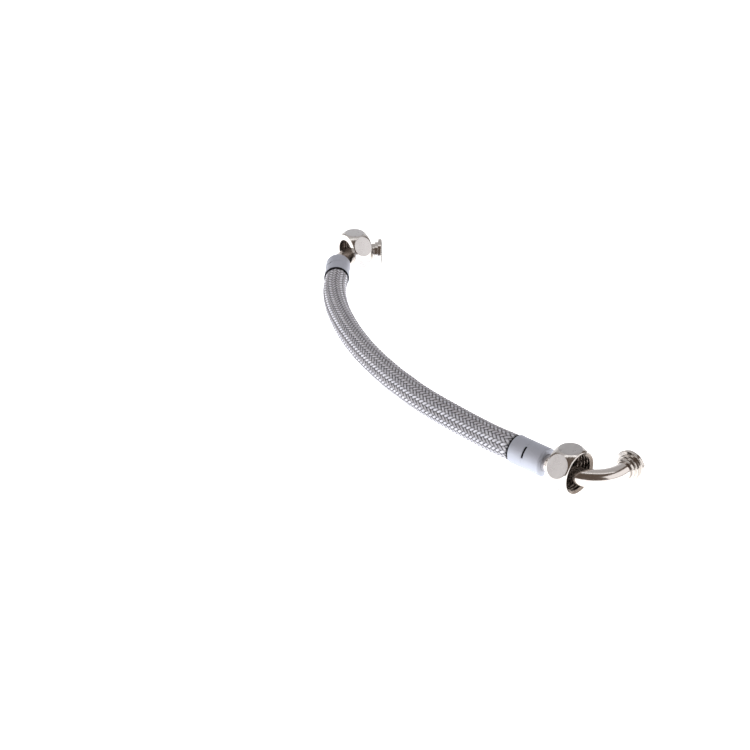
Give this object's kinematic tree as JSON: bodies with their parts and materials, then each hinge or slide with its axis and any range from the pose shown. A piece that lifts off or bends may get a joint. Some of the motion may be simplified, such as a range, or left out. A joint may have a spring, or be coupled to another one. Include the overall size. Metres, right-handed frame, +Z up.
{
  "type": "braided supply line",
  "caption": "Flexible steel-braided water hose with a crimp ferrule, a bent tube with a flanged collar and a loose union nut at each end.",
  "frame": {"origin": "on the floor under the middle of the part's box, as it lies", "axes": "+Z up, +Y along the longest extent from the near end towards the far end, +X to the right, which the near elbow points towards"},
  "size_m": [0.1638, 0.2858, 0.023],
  "materials": {
    "braid_wire": "woven bright stainless wire",
    "liner_rubber": "matte black EPDM rubber",
    "ferrule_metal": "smooth satin stainless sheet",
    "insert_brass": "turned brass",
    "plated_tube": "polished nickel plate on brass tube",
    "plated_collar": "turned and nickel plated brass",
    "seal_rubber": "matte black rubber",
    "nut_plate": "satin nickel plate on brass, polished chamfers"
  },
  "bodies": {
    "hose": {"hose_liner": "liner_rubber", "wire_braid": "braid_wire", "near_ferrule": "ferrule_metal", "near_hose_insert": "insert_brass", "near_elbow_tube": "plated_tube", "near_collar": "plated_collar", "near_seal": "seal_rubber", "far_ferrule": "ferrule_metal", "far_hose_insert": "insert_brass", "far_elbow_tube": "plated_tube", "far_collar": "plated_collar", "far_seal": "seal_rubber"},
    "near_nut": {"near_union_nut": "nut_plate"},
    "far_nut": {"far_union_nut": "nut_plate"}
  },
  "joints": [
    {"name": "near_nut_spin", "type": "hinge", "parent": "hose", "child": "near_nut", "pos_m": [0.04421, -0.13136, 0.0115], "axis": [0.7193, -0.6947, 0], "continuous": true},
    {"name": "far_nut_spin", "type": "hinge", "parent": "hose", "child": "far_nut", "pos_m": [-0.06363, 0.12905, 0.0115], "axis": [0.8387, 0.5446, 0], "continuous": true}
  ]
}
